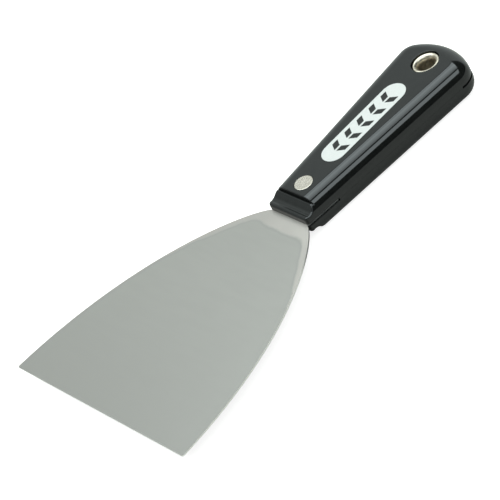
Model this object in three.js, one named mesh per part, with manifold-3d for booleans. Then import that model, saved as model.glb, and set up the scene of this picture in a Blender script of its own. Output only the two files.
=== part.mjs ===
// Wide flexible hand scraper of the joint-knife pattern: a 101.6 mm spring-steel blade with a hidden
// tang, two black plastic handle scales, one two-part compression rivet and an eyelet-lined hang hole.
//
// Units are millimetres. The tool is drawn with its working edge on x = 0, its long axis along +X,
// its width along Y and the mid-plane of the blade on z = 0, with +Z out of the front scale. The last
// step moves it so that the origin is under its middle, on the plane of the back scale's flat face.

import * as THREE from 'three';
import * as BufferGeometryUtils from 'three/addons/utils/BufferGeometryUtils.js';
import Module from 'manifold-3d';

const wasm = await Module();
wasm.setup();

// ---------- driving dimensions ----------

const overallLength = 198.6;

const blade = {
  width: 101.6,
  length: 104.9,          // working edge to handle nose
  neckHalfWidth: 10.0,
  edgeCornerRadius: 0.8,
  neckThickness: 1.0,
  edgeThickness: 0.5,
  grindStart: 93,         // the taper grind runs from here to the working edge
};

const handle = {
  noseX: 104.8,
  shoulderX: 111.3,       // the full-height grip starts here, behind the lower nose block
  halfWidthAtRivet: 12.35,
  flare: 0.08,            // gain of half width per millimetre towards the butt
  halfThickness: 7.7,
  edgeRadius: 6.1,        // rounding of the long edges
  cornerRadius: 8.3,      // plan radius of the two butt corners
  buttRadius: 27.7,       // plan radius of the butt's end
};

const noseBlock = {
  lipHeight: 3.5,         // top of the rounded front lip
  lipRadius: 1.1,
  kneeX: 107.0,           // the shallow dip behind the lip, where the rise starts
  kneeHeight: 3.3,
  ridgeX: 110.6,          // rounded ridge in front of the shoulder
  ridgeHeight: 5.8,
  edgeRounding: 0.2,      // side edge radius as a share of the block's height
  sideInset: 0.1,         // the block is this much slimmer than the grip on each side
  cornerInset: 1.5,       // how far the front corners are rounded back in plan
};

const tang = {
  slotEndX: 120.5,        // the wide start of the tang shows in the side slots up to here
  slotInset: 0.9,         // and stands this far inside the handle's side
  bodyInset: 3.4,         // the rest of it hides this far inside
  endX: 196.0,
  endCornerRadius: 9,
};

const partingGap = 0.075;   // each scale stops this far from the mid-plane
const pocketClearance = 0.12;
const buttRelief = { startX: 186, depth: 0.9, height: 0.48 };

const rivet = {
  x: 116.9,
  headRadius: 3.85,
  headThickness: 1.5,
  headInset: 0.05,        // the heads stand this far under the faces
  sleeveRadius: 2.5,
  postRadius: 1.6,
  clearance: 0.1,
};

const eyelet = {
  x: 186.4,
  counterboreRadius: 5.83,
  counterboreDepth: 2.4,
  centreRadius: 4.0,      // middle of the barrel's wall
  wall: 0.35,
  boreClearance: 0.2,
  mouthWidth: 1.05,       // half axes of the mouth's flare
  mouthRise: 1.4,
  rollRadius: 0.45,
  rearRollRadius: 0.75,
};

const washer = { innerRadius: 4.5, outerRadius: 5.6, thickness: 0.7, seatGap: 0.12 };

const roundSegments = 48;
const big = 60;             // larger than anything that it cuts

// ---------- materials ----------

const groundSteel = new THREE.MeshStandardMaterial({ color: 0xb3b6b0, metalness: 1.0, roughness: 0.38 });
const blackPlastic = new THREE.MeshStandardMaterial({ color: 0x141615, metalness: 0.0, roughness: 0.25 });
const nickelPlate = new THREE.MeshStandardMaterial({ color: 0xc9c6bb, metalness: 1.0, roughness: 0.3 });
const plainSteel = new THREE.MeshStandardMaterial({ color: 0x8f8f8c, metalness: 1.0, roughness: 0.5 });

// ---------- solids and their conversion ----------

function solidFrom(geometry) {
  const positionsOnly = geometry.clone();
  positionsOnly.deleteAttribute('normal');
  positionsOnly.deleteAttribute('uv');
  const merged = BufferGeometryUtils.mergeVertices(positionsOnly, 1e-4);
  return new wasm.Manifold(new wasm.Mesh({
    numProp: 3,
    vertProperties: new Float32Array(merged.attributes.position.array),
    triVerts: new Uint32Array(merged.index.array),
  }));
}

function meshFrom(name, solid, material) {
  const { vertProperties, triVerts } = solid.getMesh();
  const geometry = new THREE.BufferGeometry();
  geometry.setAttribute('position', new THREE.BufferAttribute(new Float32Array(vertProperties), 3));
  geometry.setIndex(new THREE.BufferAttribute(new Uint32Array(triVerts), 1));
  geometry.computeVertexNormals();
  const mesh = new THREE.Mesh(geometry, material);
  mesh.name = name;
  return mesh;
}

// An outline of [x, y] points, extruded from z = bottom to z = top.
function slab(points, bottom, top) {
  const shape = new THREE.Shape(points.map(([x, y]) => new THREE.Vector2(x, y)));
  const geometry = new THREE.ExtrudeGeometry(shape, { depth: top - bottom, bevelEnabled: false });
  return solidFrom(geometry.translate(0, 0, bottom));
}

// A closed [radius, z] profile turned about the Z axis and moved to a station along X.
function turned(profile, stationX) {
  const points = profile.map(([r, z]) => new THREE.Vector2(r, z));
  const geometry = new THREE.LatheGeometry(points, roundSegments);
  geometry.rotateX(Math.PI / 2);
  geometry.translate(stationX, 0, 0);
  return solidFrom(geometry);
}

function disc(radius, bottom, top, stationX) {
  return turned([[0, bottom], [radius, bottom], [radius, top], [0, top]], stationX);
}

function box(x0, x1, y0, y1, z0, z1) {
  const geometry = new THREE.BoxGeometry(x1 - x0, y1 - y0, z1 - z0);
  geometry.translate((x0 + x1) / 2, (y0 + y1) / 2, (z0 + z1) / 2);
  return solidFrom(geometry);
}

// Points on an arc from angle a0 to a1 (radians) about a centre, both ends included.
function arc(cx, cy, radius, a0, a1, steps, radiusY = radius) {
  const points = [];
  for (let i = 0; i <= steps; i += 1) {
    const a = a0 + (a1 - a0) * i / steps;
    points.push([cx + radius * Math.cos(a), cy + radiusY * Math.sin(a)]);
  }
  return points;
}

// A half outline with y > 0 from front to back, closed by its mirror image.
function mirrored(half) {
  const otherHalf = half.filter(([, y]) => y > 1e-6).map(([x, y]) => [x, -y]);
  return [...otherHalf, ...half.slice().reverse()];
}

// ---------- outlines ----------

function handleHalfWidth(x) {
  return handle.halfWidthAtRivet + handle.flare * (x - rivet.x);
}

// Half plan of the handle: a flaring side, a round corner and a gently curved butt end,
// all moved inwards by an inset.
function handleHalfPlan(startX, inset) {
  const sideAngle = Math.atan(handle.flare);
  const cornerRadius = handle.cornerRadius;
  const arcCentreX = overallLength - handle.buttRadius;
  // The corner's centre lies one corner radius inside the side line and inside the end arc.
  const level = handleHalfWidth(0) - cornerRadius / Math.cos(sideAngle);
  const reach = handle.buttRadius - cornerRadius;
  const a = 1 + handle.flare ** 2;
  const b = 2 * (handle.flare * level - arcCentreX);
  const c = arcCentreX ** 2 + level ** 2 - reach ** 2;
  const cornerX = (-b + Math.sqrt(b * b - 4 * a * c)) / (2 * a);
  const cornerY = level + handle.flare * cornerX;
  const joinAngle = Math.atan2(cornerY, cornerX - arcCentreX);
  const startY = handleHalfWidth(startX) - inset / Math.cos(sideAngle);
  return [
    [startX, startY],
    ...arc(cornerX, cornerY, cornerRadius - inset, Math.PI / 2 + sideAngle, joinAngle, 12),
    ...arc(arcCentreX, 0, handle.buttRadius - inset, joinAngle, 0, 8).slice(1),
  ];
}

// Half plan of the blade: working edge, small round corner and one long curve down to the neck.
function bladeHalfPlan() {
  const r = blade.edgeCornerRadius;
  const half = blade.width / 2;
  const side = new THREE.CubicBezierCurve(
    new THREE.Vector2(r, half),
    new THREE.Vector2(70.9, 47.9),
    new THREE.Vector2(blade.length, 14.0),
    new THREE.Vector2(blade.length, blade.neckHalfWidth),
  );
  return [
    [0, 0],
    ...arc(r, half - r, r, Math.PI, Math.PI / 2, 4),
    ...side.getPoints(40).slice(1).map((p) => [p.x, p.y]),
  ];
}

// Half plan of the tang behind the neck: wide where it shows in the slots, then narrower.
function tangHalfPlan(grow) {
  const wide = tang.slotInset - grow;
  const narrow = tang.bodyInset - grow;
  const endX = tang.endX + grow;
  const radius = tang.endCornerRadius;
  const cornerY = handleHalfWidth(endX - radius) - narrow - radius;
  return [
    [tang.slotEndX + grow, handleHalfWidth(tang.slotEndX) - wide],
    [tang.slotEndX + grow, handleHalfWidth(tang.slotEndX) - narrow],
    ...arc(endX - radius, cornerY, radius, Math.PI / 2, 0, 10),
    [endX, 0],
  ];
}

// ---------- blade ----------

function bladeWithTang() {
  const thickness = blade.neckThickness / 2;
  const joinX = blade.length + 1;
  const neckJoin = [joinX, handleHalfWidth(joinX) - tang.slotInset];
  const half = [...bladeHalfPlan(), neckJoin, ...tangHalfPlan(0)];
  let solid = slab(mirrored(half), -thickness, thickness);
  solid = solid.subtract(disc(rivet.sleeveRadius + 2 * rivet.clearance, -big, big, rivet.x));
  const eyeletHole = eyelet.centreRadius + eyelet.wall / 2 + 2 * eyelet.boreClearance;
  solid = solid.subtract(disc(eyeletHole, -big, big, eyelet.x));

  // The grind takes a wedge off each face, from nothing at its start to the edge's thickness.
  const drop = (blade.neckThickness - blade.edgeThickness) / 2;
  const wedge = new THREE.Shape([
    new THREE.Vector2(blade.grindStart, thickness),
    new THREE.Vector2(-1, thickness + 1),
    new THREE.Vector2(-1, thickness - drop * (blade.grindStart + 1) / blade.grindStart),
  ]);
  const width = blade.width + 4;
  const wedgeGeometry = new THREE.ExtrudeGeometry(wedge, { depth: width, bevelEnabled: false });
  wedgeGeometry.rotateX(Math.PI / 2).translate(0, width / 2, 0);
  const frontGrind = solidFrom(wedgeGeometry);
  const backGrind = solidFrom(wedgeGeometry.clone().rotateX(Math.PI));
  return solid.subtract(frontGrind).subtract(backGrind);
}

// ---------- handle scales ----------

// Height of the nose block's crest over the mid-plane, from the front lip to the ridge.
function noseCrest() {
  const n = noseBlock;
  const lipX = handle.noseX + n.lipRadius;
  const slope = new THREE.CubicBezierCurve(
    new THREE.Vector2(lipX, n.lipHeight),
    new THREE.Vector2(lipX + 0.4, n.lipHeight),
    new THREE.Vector2(n.kneeX - 0.5, n.kneeHeight),
    new THREE.Vector2(n.kneeX, n.kneeHeight),
  );
  const rise = new THREE.CubicBezierCurve(
    new THREE.Vector2(n.kneeX, n.kneeHeight),
    new THREE.Vector2(n.kneeX + 2.4, n.kneeHeight),
    new THREE.Vector2(n.ridgeX - 0.9, n.ridgeHeight),
    new THREE.Vector2(n.ridgeX, n.ridgeHeight),
  );
  return [
    ...arc(lipX, n.lipHeight - n.lipRadius, n.lipRadius, Math.PI, Math.PI / 2, 6),
    ...slope.getPoints(5).slice(1).map((p) => [p.x, p.y]),
    ...rise.getPoints(8).slice(1).map((p) => [p.x, p.y]),
    [n.ridgeX + 0.4, n.ridgeHeight - 0.05],
    [handle.shoulderX + 0.4, n.ridgeHeight - 0.05],
  ];
}

// One cross-section of the nose block: the grip's own rounded sides, cut off level at the crest,
// with a small fillet between each side and the top.
function noseSection(x, crest) {
  const n = noseBlock;
  const intoBlock = Math.min((x - handle.noseX) / n.cornerInset, 1);
  const rounding = n.cornerInset * (1 - Math.sqrt(1 - (1 - intoBlock) ** 2));
  const halfWidth = handleHalfWidth(x) - n.sideInset - rounding;
  const centreY = halfWidth - handle.edgeRadius;
  const centreZ = handle.halfThickness - handle.edgeRadius;
  const fillet = n.edgeRounding * crest;
  const filletRise = crest - fillet - centreZ;
  const filletY = centreY + Math.sqrt((handle.edgeRadius - fillet) ** 2 - filletRise ** 2);
  const meeting = Math.atan2(filletRise, filletY - centreY);
  const right = [
    ...arc(centreY, centreZ, handle.edgeRadius, 0, meeting, 5),
    ...arc(filletY, crest - fillet, fillet, meeting, Math.PI / 2, 4).slice(1),
  ];
  const left = right.slice().reverse().map(([y, z]) => [-y, z]);
  return [[-halfWidth, partingGap], [halfWidth, partingGap], ...right, ...left]
    .map(([y, z]) => new THREE.Vector3(x, y, z));
}

// A closed skin over a row of cross-sections that all have the same number of points.
function loft(sections) {
  const count = sections[0].length;
  const vertices = sections.flat();
  const faces = [];
  for (let i = 0; i + 1 < sections.length; i += 1) {
    for (let j = 0; j < count; j += 1) {
      const a = i * count + j;
      const b = i * count + (j + 1) % count;
      faces.push(a, b, a + count, b, b + count, a + count);
    }
  }
  const last = (sections.length - 1) * count;
  for (let j = 1; j + 1 < count; j += 1) {
    faces.push(0, j + 1, j);
    faces.push(last, last + j, last + j + 1);
  }
  const geometry = new THREE.BufferGeometry().setFromPoints(vertices);
  geometry.setIndex(faces);
  return solidFrom(geometry);
}

function noseSolid() {
  const crest = noseCrest();
  const sections = crest.map(([x, z]) => noseSection(x, z));
  return loft(sections);
}

// The grip: the plan with all its edges rounded, kept from the shoulder to the butt.
function gripSolid() {
  const radius = handle.edgeRadius;
  const outline = mirrored([[handle.noseX - 10, 0], ...handleHalfPlan(handle.noseX - 10, 0)]);
  const shape = new THREE.Shape(outline.map(([x, y]) => new THREE.Vector2(x, y)));
  const depth = 2 * (handle.halfThickness - radius);
  const geometry = new THREE.ExtrudeGeometry(shape, {
    depth,
    bevelThickness: radius,
    bevelSize: radius,
    bevelOffset: -radius,
    bevelSegments: 8,
  });
  geometry.translate(0, 0, -depth / 2);
  const keep = box(handle.shoulderX, overallLength + 5, -big, big, partingGap, big);
  return solidFrom(geometry).intersect(keep);
}

// The shallow groove that opens the parting line round the butt.
function buttGroove() {
  const { startX, depth, height } = buttRelief;
  const core = slab(mirrored([[100, 0], ...handleHalfPlan(100, depth)]), -big, big);
  return box(startX, overallLength + 5, -big, big, -1, height).subtract(core);
}

function scaleSolid() {
  const pocketTop = blade.neckThickness / 2 + pocketClearance;
  const pocketHalf = [
    [handle.noseX - 5, 0],
    [handle.noseX - 5, big / 2],
    [tang.slotEndX + 1, big / 2],
    ...tangHalfPlan(2 * pocketClearance).slice(1),
  ];
  const boreRadius = eyelet.centreRadius + eyelet.wall / 2 + eyelet.boreClearance;
  const headSeat = handle.halfThickness - rivet.headThickness - rivet.headInset - rivet.clearance;
  const mouthSeat = handle.halfThickness - eyelet.counterboreDepth;
  return gripSolid()
    .add(noseSolid())
    .subtract(slab(mirrored(pocketHalf), -1, pocketTop))
    .subtract(disc(rivet.sleeveRadius + rivet.clearance, -1, big, rivet.x))
    .subtract(disc(rivet.headRadius + rivet.clearance, headSeat, big, rivet.x))
    .subtract(disc(boreRadius, -1, big, eyelet.x))
    .subtract(disc(eyelet.counterboreRadius, mouthSeat, big, eyelet.x))
    .subtract(buttGroove());
}

// ---------- compression rivet ----------

function rivetPost() {
  const top = handle.halfThickness - rivet.headInset;
  const underHead = top - rivet.headThickness;
  const chamfer = 0.15;
  const shankEnd = -(handle.halfThickness - rivet.headInset - rivet.headThickness) + 0.3;
  return turned([
    [0, shankEnd],
    [rivet.postRadius - chamfer, shankEnd],
    [rivet.postRadius, shankEnd + chamfer],
    [rivet.postRadius, underHead],
    [rivet.headRadius, underHead],
    [rivet.headRadius, top - chamfer],
    [rivet.headRadius - chamfer, top],
    [0, top],
  ], rivet.x);
}

function rivetSleeve() {
  const bottom = -(handle.halfThickness - rivet.headInset);
  const headTop = bottom + rivet.headThickness;
  const chamfer = 0.15;
  const bore = rivet.postRadius + rivet.clearance;
  const mouth = -headTop - 0.3;
  return turned([
    [0, bottom],
    [rivet.headRadius - chamfer, bottom],
    [rivet.headRadius, bottom + chamfer],
    [rivet.headRadius, headTop],
    [rivet.sleeveRadius, headTop],
    [rivet.sleeveRadius, mouth],
    [bore, mouth],
    [bore, headTop + 0.1],
    [0, headTop + 0.1],
  ], rivet.x);
}

// ---------- hang-hole eyelet ----------

// The eyelet is sheet of one thickness that follows a middle line: the line is walked up one side
// and back down the other, half a wall away from it each way.
function sheetProfile(line, wall) {
  const offset = (side) => line.map(([r, z], i) => {
    const before = line[Math.max(i - 1, 0)];
    const after = line[Math.min(i + 1, line.length - 1)];
    const length = Math.hypot(after[0] - before[0], after[1] - before[1]);
    const normal = [(after[1] - before[1]) / length, -(after[0] - before[0]) / length];
    return [r + side * normal[0] * wall / 2, z + side * normal[1] * wall / 2];
  });
  const outer = offset(1);
  const inner = offset(-1).reverse();
  return [...outer, ...inner, outer[0]];
}

function hangEyelet() {
  const e = eyelet;
  const seat = handle.halfThickness - e.counterboreDepth;
  const mouthBase = seat - 0.3;
  const crown = mouthBase + e.mouthRise;
  const mouthCentre = e.centreRadius + e.mouthWidth;
  const rearStart = -(seat + 0.45);
  const rearCentre = e.centreRadius + e.rearRollRadius;
  const rear = arc(rearCentre, rearStart, e.rearRollRadius, -Math.PI / 2, -Math.PI, 5);
  const line = [
    [rearCentre + 0.4, rearStart - e.rearRollRadius],
    ...rear,
    ...arc(mouthCentre, mouthBase, e.mouthWidth, Math.PI, Math.PI / 2, 7, e.mouthRise),
    ...arc(mouthCentre, crown - e.rollRadius, e.rollRadius, Math.PI / 2, 0, 4).slice(1),
    [mouthCentre + e.rollRadius, seat + 0.25],
  ];
  return turned(sheetProfile(line, e.wall), e.x);
}

function eyeletWasher() {
  const seat = -(handle.halfThickness - eyelet.counterboreDepth) - washer.seatGap;
  const outside = seat - washer.thickness;
  return turned([
    [washer.innerRadius, outside],
    [washer.outerRadius - 0.15, outside],
    [washer.outerRadius, outside + 0.15],
    [washer.outerRadius, seat],
    [washer.innerRadius, seat],
    [washer.innerRadius, outside],
  ], eyelet.x);
}

// ---------- assembly ----------

const frontScale = meshFrom('front_scale', scaleSolid(), blackPlastic);
const backScale = frontScale.clone();
backScale.name = 'back_scale';
backScale.rotation.x = Math.PI;   // the scales are alike about the long axis

const scraper = new THREE.Group();
scraper.add(
  meshFrom('blade', bladeWithTang(), groundSteel),
  frontScale,
  backScale,
  meshFrom('rivet_post', rivetPost(), nickelPlate),
  meshFrom('rivet_sleeve', rivetSleeve(), nickelPlate),
  meshFrom('hang_eyelet', hangEyelet(), nickelPlate),
  meshFrom('eyelet_washer', eyeletWasher(), plainSteel),
);
scraper.position.set(-overallLength / 2, 0, handle.halfThickness);

export default scraper;
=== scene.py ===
# %% [markdown]
# # A broad flexible scraper, finished around its CAD frame
#
# The tool is a thin, wide spring-steel blade held between two glossy black plastic scales by one
# compression rivet, with a metal eyelet through the hang hole. The CAD model already says how big
# everything is and where it sits. This lesson loads that model as a fixed frame, builds the fine
# visible surface of each piece around it, gives each piece a finish, and lights the tool as on a
# white table under a big soft light.

# %% Load the frame
import math

import bmesh
import bpy
from mathutils import Matrix, Vector


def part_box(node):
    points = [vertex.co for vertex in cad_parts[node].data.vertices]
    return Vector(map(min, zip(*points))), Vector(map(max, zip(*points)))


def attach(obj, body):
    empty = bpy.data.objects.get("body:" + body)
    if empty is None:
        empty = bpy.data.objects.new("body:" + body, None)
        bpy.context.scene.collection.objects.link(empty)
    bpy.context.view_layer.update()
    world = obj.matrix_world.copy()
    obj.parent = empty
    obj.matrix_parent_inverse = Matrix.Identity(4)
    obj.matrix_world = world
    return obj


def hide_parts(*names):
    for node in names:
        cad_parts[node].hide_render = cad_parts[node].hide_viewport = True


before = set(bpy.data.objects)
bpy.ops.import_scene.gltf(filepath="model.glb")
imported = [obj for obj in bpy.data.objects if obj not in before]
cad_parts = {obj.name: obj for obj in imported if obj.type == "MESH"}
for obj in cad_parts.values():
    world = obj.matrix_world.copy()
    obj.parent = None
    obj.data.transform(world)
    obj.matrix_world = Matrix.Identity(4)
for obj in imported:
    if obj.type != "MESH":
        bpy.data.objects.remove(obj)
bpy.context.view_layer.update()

MM = 0.001

# %% [markdown]
# ## Measures
#
# Most places come from the boxes of the CAD nodes: where the nose of the handle is, where the rivet
# and the eyelet stand, how thick the handle is. Only the radii and small insets, which a box can't
# tell, are written out here. Everything is in metres, with MM to write millimetres.

# %% Places read from the frame
blade_low, blade_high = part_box("blade")
scale_low, scale_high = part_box("front_scale")
post_low, post_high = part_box("rivet_post")
eyelet_low, eyelet_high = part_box("hang_eyelet")
washer_low, washer_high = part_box("eyelet_washer")

MIDDLE = (blade_low.z + blade_high.z) / 2
EDGE_X = blade_low.x
NOSE_X = scale_low.x
BUTT_X = scale_high.x
RIVET_X = (post_low.x + post_high.x) / 2
EYELET_X = (eyelet_low.x + eyelet_high.x) / 2
HALF_THICKNESS = scale_high.z - MIDDLE
BLADE_HALF_WIDTH = blade_high.y
print(f"nose {NOSE_X / MM:.1f}, rivet {RIVET_X / MM:.1f}, eyelet {EYELET_X / MM:.1f}, butt {BUTT_X / MM:.1f}")

# %% Radii and insets that a box can't tell
SHOULDER_X = NOSE_X + 6.5 * MM
HALF_WIDTH_AT_RIVET = 12.35 * MM
FLARE = 0.08
LONG_EDGE_RADIUS = 6.1 * MM
BUTT_CORNER_RADIUS = 8.3 * MM
BUTT_END_RADIUS = 27.7 * MM
PARTING_GAP = 0.02 * MM
NECK_HALF_WIDTH = 10.0 * MM
BLADE_LENGTH = NOSE_X + 0.1 * MM - EDGE_X
GRIND_LENGTH = 93 * MM
NECK_THICKNESS = 1.0 * MM
EDGE_THICKNESS = 0.5 * MM


def handle_half_width(x):
    """Half the handle's width on the parting plane; its sides flare towards the butt."""
    return HALF_WIDTH_AT_RIVET + FLARE * (x - RIVET_X)


print(f"blade {BLADE_LENGTH / MM:.1f} long, handle {2 * handle_half_width(NOSE_X) / MM:.1f} wide at the nose")


# %% [markdown]
# ## Small helpers for meshes and node trees
#
# The pieces below are made in three ways: as point rows skinned with quads, by Geometry Nodes, and
# by cutting one closed mesh with another. Each way gets one short helper here.

# %% Mesh helpers
def link_mesh(name, vertices, faces):
    """A new mesh object at the origin, smooth shaded, in the scene."""
    mesh = bpy.data.meshes.new(name)
    mesh.from_pydata([tuple(v) for v in vertices], [], faces)
    mesh.polygons.foreach_set("use_smooth", [True] * len(mesh.polygons))
    piece = bpy.data.objects.new(name, mesh)
    bpy.context.scene.collection.objects.link(piece)
    return piece


def open_edges(work):
    """How many edges of a bmesh aren't shared by exactly two faces."""
    return sum(1 for edge in work.edges if not edge.is_manifold)


def outward(piece):
    """Merge doubles and turn all the faces of a closed mesh outwards."""
    work = bmesh.new()
    work.from_mesh(piece.data)
    bmesh.ops.remove_doubles(work, verts=work.verts, dist=0.002 * MM)
    bmesh.ops.recalc_face_normals(work, faces=work.faces)
    if work.calc_volume(signed=True) < 0:
        bmesh.ops.reverse_faces(work, faces=work.faces)
    lone = open_edges(work)
    work.to_mesh(piece.data)
    work.free()
    print(f"{piece.name}: {len(piece.data.polygons)} faces, {lone} open edges")
    return piece


def measure(piece):
    """Print a finished piece's faces, its open edges and its faces that have no area."""
    work = bmesh.new()
    work.from_mesh(piece.data)
    flat = sum(1 for face in work.faces if face.calc_area() < 1e-12)
    counts = f"{len(work.faces)} faces, {open_edges(work)} open edges, {flat} without area"
    print(piece.name, "finished:", counts)
    work.free()


def made_plain(source, name):
    """The evaluated result of an object and its modifiers, as a plain mesh object."""
    graph = bpy.context.evaluated_depsgraph_get()
    mesh = bpy.data.meshes.new_from_object(source.evaluated_get(graph), depsgraph=graph)
    mesh.name = name
    bpy.data.objects.remove(source)
    piece = bpy.data.objects.new(name, mesh)
    bpy.context.scene.collection.objects.link(piece)
    return piece


def arc(cx, cy, radius, start, end, steps):
    """Points on a circular arc, both ends included; the angles are in radians."""
    angles = [start + (end - start) * i / steps for i in range(steps + 1)]
    return [(cx + radius * math.cos(a), cy + radius * math.sin(a)) for a in angles]


def bezier(p0, p1, p2, p3, steps):
    """Points on a cubic curve, both ends included."""
    points = []
    for i in range(steps + 1):
        t = i / steps
        weights = ((1 - t) ** 3, 3 * (1 - t) ** 2 * t, 3 * (1 - t) * t * t, t**3)
        points.append(tuple(sum(w * p[k] for w, p in zip(weights, (p0, p1, p2, p3))) for k in (0, 1)))
    return points


# %% Node-tree helpers
def geometry_tree(name, inputs):
    """A Geometry Nodes tree with one geometry in, one out and the named inputs."""
    tree = bpy.data.node_groups.new(name, "GeometryNodeTree")
    tree.interface.new_socket("Geometry", in_out="INPUT", socket_type="NodeSocketGeometry")
    tree.interface.new_socket("Geometry", in_out="OUTPUT", socket_type="NodeSocketGeometry")
    for label, kind in inputs.items():
        tree.interface.new_socket(label, in_out="INPUT", socket_type="NodeSocket" + kind)
    return tree, tree.nodes.new("NodeGroupInput").outputs


def node(tree, kind, inputs=None, **settings):
    """Add a node; an input given as a socket is linked, and anything else is its value."""
    made = tree.nodes.new(kind)
    for key, value in settings.items():
        setattr(made, key, value)
    for key, value in (inputs or {}).items():
        if isinstance(value, bpy.types.NodeSocket):
            tree.links.new(value, made.inputs[key])
        else:
            made.inputs[key].default_value = value
    return made


def math_node(tree, operation, *values):
    """A Math node's output."""
    return node(tree, "ShaderNodeMath", dict(enumerate(values)), operation=operation).outputs[0]


def run_tree(source, tree, values, name):
    """Run a tree on an object with its named inputs set, and return the plain mesh that it makes."""
    modifier = source.modifiers.new(tree.name, "NODES")
    modifier.node_group = tree
    for item in tree.interface.items_tree:
        if item.in_out == "INPUT" and item.name in values:
            modifier[item.identifier] = values[item.name]
    piece = made_plain(source, name)
    print(f"{name}: {len(piece.data.polygons)} faces from the tree '{tree.name}'")
    return piece


# %% [markdown]
# ## Finishes
#
# Four finishes cover the tool: ground steel on the blade, glossy moulded black plastic on the
# scales, satin nickel on the rivet and the eyelet, and white pad-printing ink on the badge. Each is
# a Principled shader whose small variations come from noise on Object coordinates, so that they
# stay fixed to the piece. Values that are the same all over are set on the shader itself.

# %% Start of every finish
def finish(name, **shader_values):
    """A Principled material with its even values set, and the socket of its Object coordinates."""
    material = bpy.data.materials.new(name)
    material.use_nodes = True
    tree = material.node_tree
    shader = tree.nodes["Principled BSDF"]
    for key, value in shader_values.items():
        shader.inputs[key.replace("_", " ")].default_value = value
    place = node(tree, "ShaderNodeTexCoord").outputs["Object"]
    return material, tree, shader, place


def noise(tree, place, stretch, scale, detail=3.0, turn=(0, 0, 0)):
    """Noise on Object coordinates, stretched along an axis by giving it a small number."""
    mapped = node(tree, "ShaderNodeMapping", {"Vector": place, "Scale": stretch, "Rotation": turn})
    pattern = {"Vector": mapped.outputs[0], "Scale": scale, "Detail": detail}
    return node(tree, "ShaderNodeTexNoise", pattern).outputs[0]


def ramp(tree, value, low, high, out_low, out_high):
    """A value carried from one range to another, held at the ends."""
    inputs = {"Value": value, "From Min": low, "From Max": high, "To Min": out_low, "To Max": out_high}
    return node(tree, "ShaderNodeMapRange", inputs, interpolation_type="SMOOTHSTEP").outputs[0]


def mix_color(tree, factor, first, second):
    """Two colours mixed by a factor."""
    inputs = {"Factor": factor, 6: first, 7: second}
    return node(tree, "ShaderNodeMix", inputs, data_type="RGBA").outputs[2]


def mottled(tree, pattern, low, high, first, second):
    """One colour below a pattern's low level, another above its high level, and mixed between."""
    return mix_color(tree, ramp(tree, pattern, low, high, 0, 1), first, second)


def bump(tree, shader, height, distance):
    """A fine relief on the shader's normal; the distance is in metres."""
    relief = node(tree, "ShaderNodeBump", {"Height": height, "Distance": distance, "Strength": 1.0})
    tree.links.new(relief.outputs[0], shader.inputs["Normal"])


# %% [markdown]
# ### Ground blade steel
#
# The blade is ground across its width, so fine scratches run along Y: noise is squeezed along X and
# stretched along Y. Round the neck the wheel never reached the strip's own brighter rolled surface.
# The blade's tree stores how far inside the ground area each point is, in millimetres, as an
# attribute called grind_depth. A little noise makes its zero line wander. The finish changes from
# ground to rolled there, and a thin line beside it is painted darker, a painted shadow of the small
# step where the grind begins. The rolled strip dulls towards one side, and the ground face gets
# slightly darker towards the working edge.
# The cut sides are found by how little they face up, and get a painted reflection: bright along
# the blade, and dull by the neck, where their curve turns them away from the light.

# %% Blade steel
GROUND_TONES = (0.3685, 0.353, 0.326, 1), (0.3765, 0.36, 0.333, 1)
GROUND_BY_THE_EDGE = (0.335, 0.32, 0.296, 1)
ROLLED_TONES = (0.455, 0.418, 0.386, 1), (0.496, 0.457, 0.42, 1)
ROLLED_FAR_SIDE = (0.417, 0.383, 0.353, 1)
# Painted shade: the thin darker line beside the grind's end stands in for the shadow of its small step.
GRIND_STEP_PAINTED_SHADE = (0.31, 0.30, 0.28, 1)
GRIND_STEP_SHADE_SHARE = 0.36
# Painted reflection on the cut sides: bright along the blade, dark by the neck.
CUT_SIDE_PAINTED_REFLECTION = (0.95, 0.93, 0.89, 1), (0.3, 0.3, 0.29, 1)


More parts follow.
